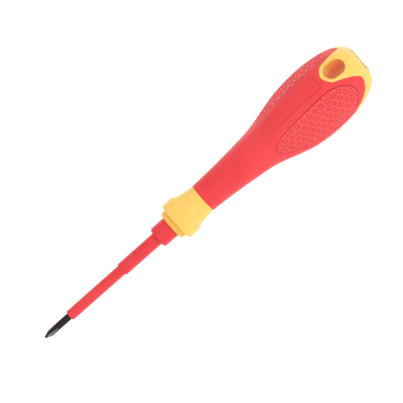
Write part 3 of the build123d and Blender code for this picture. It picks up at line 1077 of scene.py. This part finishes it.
def make_insulation():
    """Thin insulation with a rounded front end"""
    corners = [
        (insulation_back, shank_radius, 0), (insulation_back, SLEEVE_BORE, 0), (sleeve_front, SLEEVE_BORE, 0),
        *[(x, insulation_radius, 0) for x in np.arange(sleeve_front, insulation_front - 1, 0.6)],
        (insulation_front, insulation_radius, 0.62), (insulation_front, shank_radius, 0.08),
    ]
    return turned(rounded_profile(corners), 96).piece(
        "insulation_tube", "blade", "insulation_red", insulation_red, ["shank_insulation"])


def make_spring():
    """Compression spring between the washer and the collar. It shortens as the collar goes in."""
    back, front = span("collar_spring")[0][0] + SPRING_WIRE / 2, span("collar_spring")[1][0] - SPRING_WIRE / 2
    steps = 48 * SPRING_TURNS
    shell = Shell()
    rings = []
    for step in range(steps + 1):
        angle = math.tau * SPRING_TURNS * step / steps
        along = Vector((1, 0, 0))
        out = Vector((0, math.sin(angle), math.cos(angle)))
        middle = along * (back + (front - back) * step / steps) + out * SPRING_RADIUS
        rings.append(shell.add([
            middle + (out * math.cos(a) + along * math.sin(a)) * SPRING_WIRE / 2
            for a in np.linspace(0, math.tau, 12, endpoint=False)
        ]))
    for first, second in zip(rings, rings[1:]):
        shell.bridge(first, second)
    shell.cap(rings[0])
    shell.cap(rings[-1])
    piece = shell.piece("spring_coil", None, "spring_steel", spring_steel, ["collar_spring"])
    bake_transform(piece)


make_core()
make_grip()
for pad_name, (pad_turn, pad_ends) in PADS.items():
    make_pad(pad_name, pad_turn, pad_ends)
make_butt_marks()
make_guard()
make_collar()
make_plug()
make_sleeve()
make_insulation()
make_spring()

for node_name, finish in {
    "blade_shank": blade_steel,
    "drive_socket": inner_steel,
    "spring_washer": inner_steel,
    "retaining_clip": spring_steel,
    "collar_ring": spring_steel,
}.items():
    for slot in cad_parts[node_name].material_slots:
        slot.material = finish

# ---------------------------------------------------------------- floor, light and camera
FLOOR_SIZE = 3.0
floor_mesh = bpy.data.meshes.new("floor")
half = FLOOR_SIZE / 2
floor_z = cad_box[0].z
floor_mesh.from_pydata([(-half, -half, floor_z), (half, -half, floor_z), (half, half, floor_z),
                        (-half, half, floor_z)], [], [(0, 1, 2, 3)])
floor = bpy.data.objects.new("floor", floor_mesh)
bpy.context.scene.collection.objects.link(floor)
floor_material = bpy.data.materials.new("floor")
floor_material.use_nodes = True
floor_shader = floor_material.node_tree.nodes["Principled BSDF"]
floor_shader.inputs["Base Color"].default_value = (0.92, 0.92, 0.92, 1)
floor_shader.inputs["Roughness"].default_value = 0.9
floor_shader.inputs["Specular IOR Level"].default_value = 0.1
floor_shader.inputs["Emission Color"].default_value = (1, 1, 1, 1)
floor_shader.inputs["Emission Strength"].default_value = 0.42
floor_mesh.materials.append(floor_material)

world = bpy.data.worlds.new("studio")
bpy.context.scene.world = world
world.use_nodes = True
world.node_tree.nodes["Background"].inputs["Color"].default_value = (1, 1, 1, 1)
world.node_tree.nodes["Background"].inputs["Strength"].default_value = 0.72

# The view: along which the tool is seen, how the picture is turned, and how wide it is
TILT = math.radians(4.4)
ROLL = math.radians(18.5)
PICTURE_TURN = math.radians(41.5)
PICTURE_WIDTH = 161.2
VIEW_BACK_FROM_TIP = 82.88
VIEW_SIDE = 0.645
VIEW_DISTANCE = 4000.0

toward_butt = Vector((-math.cos(TILT), -math.sin(TILT) * math.sin(ROLL), -math.sin(TILT) * math.cos(ROLL)))
sideward = Vector((0, math.cos(ROLL), -math.sin(ROLL)))
toward_camera = Vector((-math.sin(TILT), math.cos(TILT) * math.sin(ROLL), math.cos(TILT) * math.cos(ROLL)))
view_right = math.cos(PICTURE_TURN) * toward_butt + math.sin(PICTURE_TURN) * sideward
view_up = math.sin(PICTURE_TURN) * toward_butt - math.cos(PICTURE_TURN) * sideward
view_centre = Vector((tip, 0, 0)) + VIEW_BACK_FROM_TIP * toward_butt + VIEW_SIDE * sideward
camera_place = view_centre + VIEW_DISTANCE * toward_camera
turn_matrix = Matrix((view_right, view_up, toward_camera)).transposed()

camera_data = bpy.data.cameras.new("camera")
camera_data.sensor_width = 36.0
camera_data.lens = 36.0 * VIEW_DISTANCE / PICTURE_WIDTH
camera_data.clip_start = 0.1
camera_data.clip_end = 30.0
camera = bpy.data.objects.new("camera", camera_data)
camera.matrix_world = Matrix.Translation(camera_place * MM) @ turn_matrix.to_4x4()
bpy.context.scene.collection.objects.link(camera)
bpy.context.scene.camera = camera


def lamp(name, power, size, right, up, forward):
    """A square soft light, placed in the picture's directions (metres) and turned to the tool"""
    data = bpy.data.lights.new(name, "AREA")
    data.energy = power
    data.size = size
    light = bpy.data.objects.new(name, data)
    target = view_centre * MM
    place = target + right * view_right + up * view_up + forward * toward_camera
    light.location = place
    light.rotation_mode = "QUATERNION"
    light.rotation_quaternion = (target - place).to_track_quat("-Z", "Y")
    bpy.context.scene.collection.objects.link(light)
    return light


lamp("key", 2.7, 0.45, 0.42, 0.0, 0.85)
lamp("fill", 1.2, 1.0, -0.5, -0.5, 0.8)
lamp("rim", 1.6, 0.6, -0.2, 0.8, 0.6)

bpy.context.scene.view_settings.view_transform = "Standard"
